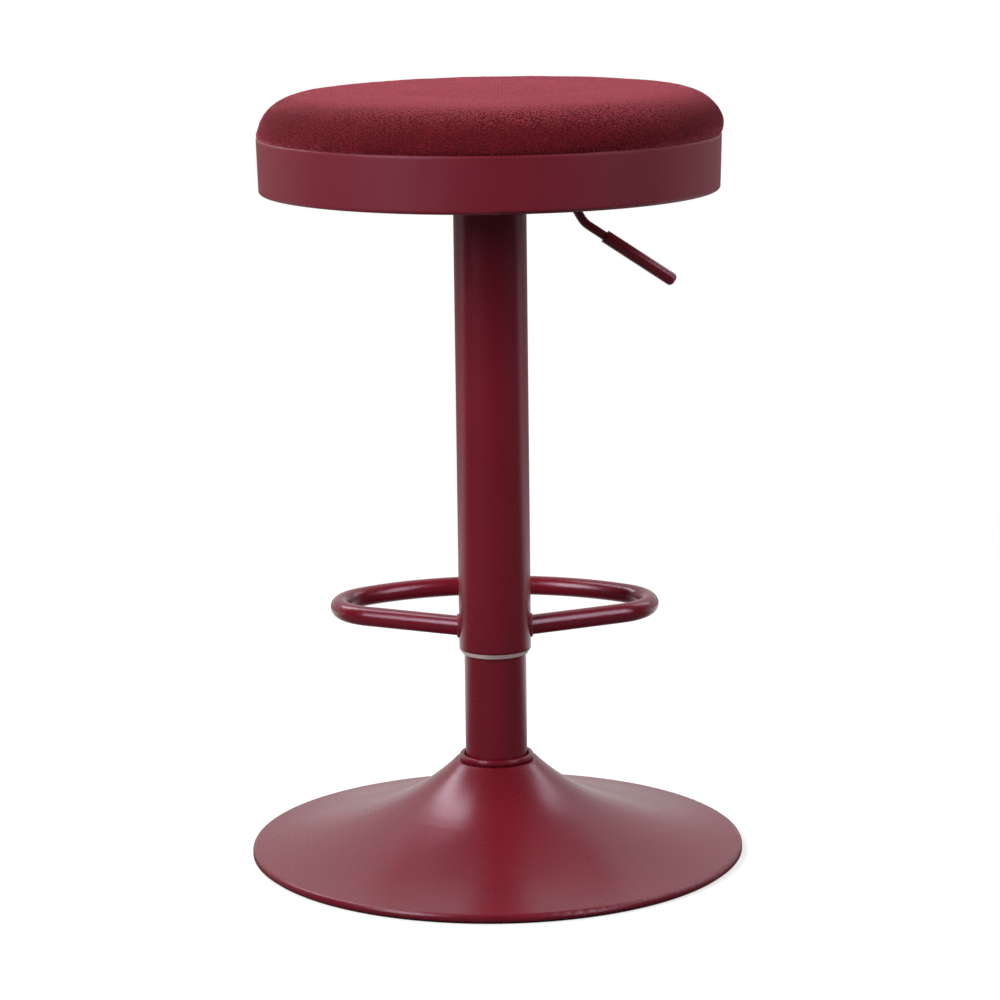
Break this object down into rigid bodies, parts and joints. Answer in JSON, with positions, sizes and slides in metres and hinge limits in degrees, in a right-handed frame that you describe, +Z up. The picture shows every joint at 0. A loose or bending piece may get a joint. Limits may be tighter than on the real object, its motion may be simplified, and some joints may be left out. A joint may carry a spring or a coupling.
{
  "type": "adjustable swivel stool",
  "caption": "Round upholstered swivel stool on a gas-lift column, with a trumpet base, a fixed loop foot rest and a height lever under the seat.",
  "frame": {"origin": "centre of the base on the floor, under the column axis", "axes": "+Z up along the column, +Y the way the sitter faces and the foot rest reaches, +X towards the height lever"},
  "size_m": [0.399, 0.399, 0.6211],
  "materials": {
    "powder_coat": "satin burgundy powder coat, fine grain",
    "lever_coat": "satin burgundy powder coat",
    "lever_sleeve": "smooth burgundy plastic sleeve",
    "seat_fabric": "short looped burgundy pile",
    "foam": "open-cell upholstery foam",
    "guide_plastic": "light grey acetal",
    "black_rubber": "matte black rubber",
    "black_plastic": "fine-textured black plastic",
    "cast_ballast": "painted steel plate",
    "zinc_steel": "zinc plated",
    "black_steel": "black enamel",
    "ground_steel": "ground and hard chromed",
    "plywood": "birch plywood, raw"
  },
  "bodies": {
    "base": {"trumpet_base": "powder_coat", "base_collar": "powder_coat", "floor_ring": "black_rubber", "bottom_cover": "black_plastic", "ballast_plate": "cast_ballast", "base_hub": "cast_ballast", "hub_screws": "zinc_steel", "hub_nuts": "zinc_steel", "column_tube": "powder_coat", "guide_bush": "guide_plastic", "lower_race": "zinc_steel"},
    "ball_set": {"ball_cage": "zinc_steel", "bearing_balls": "ground_steel"},
    "rod": {"piston_rod": "ground_steel", "retaining_clip": "zinc_steel", "rod_washer": "zinc_steel", "upper_race": "zinc_steel", "bump_stop": "black_rubber", "piston": "zinc_steel", "piston_seal": "black_rubber"},
    "seat": {"gas_cylinder": "black_steel", "rod_guide": "zinc_steel", "rod_seal": "black_rubber", "valve_body": "zinc_steel", "taper_socket": "black_steel", "cover_tube": "powder_coat", "tube_cap": "black_steel", "guide_ring": "guide_plastic", "foot_rest": "powder_coat", "mechanism_plate": "black_steel", "mechanism_housing": "black_steel", "lever_pin": "zinc_steel", "seat_bolts": "zinc_steel", "seat_washers": "zinc_steel", "tee_nuts": "zinc_steel", "seat_band": "powder_coat", "band_screws": "zinc_steel", "seat_board": "plywood", "foam_pad": "foam", "seat_cover": "seat_fabric", "cover_staples": "zinc_steel"},
    "lever": {"lever_rod": "lever_coat", "lever_grip": "lever_sleeve"},
    "button": {"release_button": "zinc_steel"}
  },
  "joints": [
    {"name": "seat_swivel", "type": "hinge", "parent": "base", "child": "rod", "pos_m": [0, 0, 0.0195], "axis": [0, 0, 1], "continuous": true},
    {"name": "ball_set_turn", "type": "hinge", "parent": "base", "child": "ball_set", "pos_m": [0, 0, 0.0195], "axis": [0, 0, 1], "continuous": true},
    {"name": "seat_lift", "type": "slide", "parent": "rod", "child": "seat", "axis": [0, 0, 1], "range_m": [0, 0.21]},
    {"name": "lever_pull", "type": "hinge", "parent": "seat", "child": "lever", "pos_m": [0.026, 0, 0.5335], "axis": [0, -1, 0], "range_deg": [0, 7.5], "stiffness_Nm_per_rad": 0.6, "springref_deg": -8.59},
    {"name": "button_press", "type": "slide", "parent": "seat", "child": "button", "axis": [0, 0, -1], "range_m": [0, 0.0035]}
  ],
  "couplings": [
    {"joint": "ball_set_turn", "follows": "seat_swivel", "ratio": 0.5},
    {"joint": "button_press", "follows": "lever_pull", "m_per_rad": 0.026}
  ]
}
